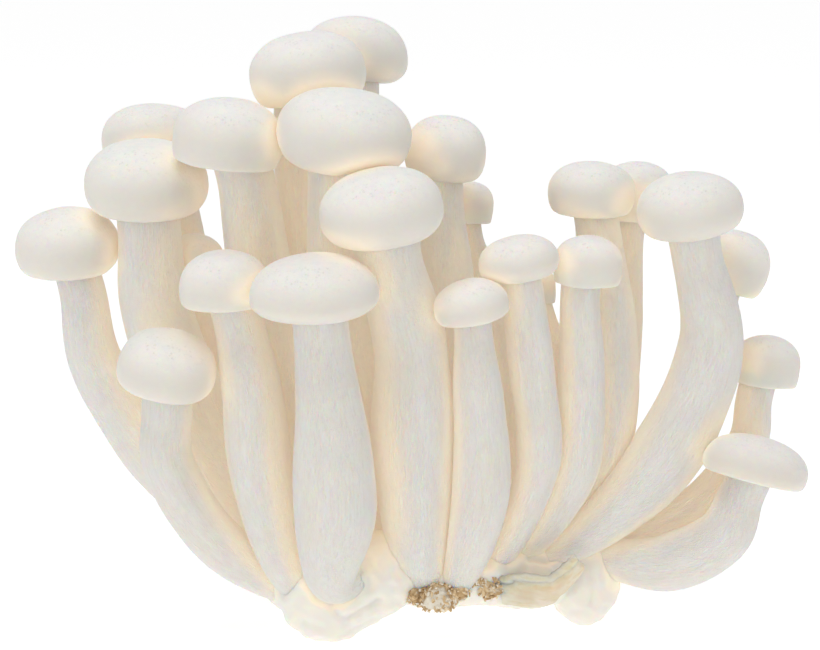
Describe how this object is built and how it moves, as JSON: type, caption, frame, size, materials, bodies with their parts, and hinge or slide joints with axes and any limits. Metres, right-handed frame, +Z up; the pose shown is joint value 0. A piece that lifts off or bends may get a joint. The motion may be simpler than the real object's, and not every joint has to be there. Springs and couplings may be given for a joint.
{
  "type": "shimeji mushroom bunch",
  "caption": "Bunch of pale beech mushrooms: round button caps with gills on thick curved stems that fan out of one fleshy base, with a scrap of growing crust under it.",
  "frame": {"origin": "middle of the bounding box at the ground the bunch stands on", "axes": "+X to the picture's right along the fan of mushrooms, +Y away from the camera, +Z up the stems"},
  "size_m": [0.1426, 0.0832, 0.1082],
  "materials": {
    "cap_skin": "smooth matt off-white cap skin, faintly mottled with grey over the crown",
    "stem_flesh": "matt white flesh with fine fibres along the stem",
    "base_flesh": "creamy folded flesh, yellower on the torn flap",
    "sawdust": "crumbly brown sawdust bound with white threads"
  },
  "bodies": {
    "root": {"base": "base_flesh", "sawdust_crust": "sawdust", "cap_left_outer": "cap_skin", "stem_left_outer": "stem_flesh", "cap_left_tall": "cap_skin", "stem_left_tall": "stem_flesh", "cap_left_rear": "cap_skin", "stem_left_rear": "stem_flesh", "cap_left_inner": "cap_skin", "stem_left_inner": "stem_flesh", "cap_crown_front": "cap_skin", "stem_crown_front": "stem_flesh", "cap_crown_rear": "cap_skin", "stem_crown_rear": "stem_flesh", "cap_centre_tall": "cap_skin", "stem_centre_tall": "stem_flesh", "cap_centre_front": "cap_skin", "stem_centre_front": "stem_flesh", "cap_centre_right": "cap_skin", "stem_centre_right": "stem_flesh", "cap_centre_small": "cap_skin", "stem_centre_small": "stem_flesh", "cap_front_left": "cap_skin", "stem_front_left": "stem_flesh", "cap_front_long": "cap_skin", "stem_front_long": "stem_flesh", "cap_left_low": "cap_skin", "stem_left_low": "stem_flesh", "cap_left_hidden": "cap_skin", "stem_left_hidden": "stem_flesh", "cap_front_small": "cap_skin", "stem_front_small": "stem_flesh", "cap_front_right": "cap_skin", "stem_front_right": "stem_flesh", "cap_right_short": "cap_skin", "stem_right_short": "stem_flesh", "cap_right_tall": "cap_skin", "stem_right_tall": "stem_flesh", "cap_right_rear": "cap_skin", "stem_right_rear": "stem_flesh", "cap_right_bend": "cap_skin", "stem_right_bend": "stem_flesh", "cap_right_back": "cap_skin", "stem_right_back": "stem_flesh", "cap_far_right": "cap_skin", "stem_far_right": "stem_flesh", "cap_open_cap": "cap_skin", "stem_open_cap": "stem_flesh", "cap_gap_small": "cap_skin", "stem_gap_small": "stem_flesh", "cap_rear_left": "cap_skin", "stem_rear_left": "stem_flesh", "cap_rear_centre": "cap_skin", "stem_rear_centre": "stem_flesh", "cap_rear_right": "cap_skin", "stem_rear_right": "stem_flesh", "cap_rear_low_left": "cap_skin", "stem_rear_low_left": "stem_flesh", "cap_rear_low_right": "cap_skin", "stem_rear_low_right": "stem_flesh"}
  },
  "joints": []
}
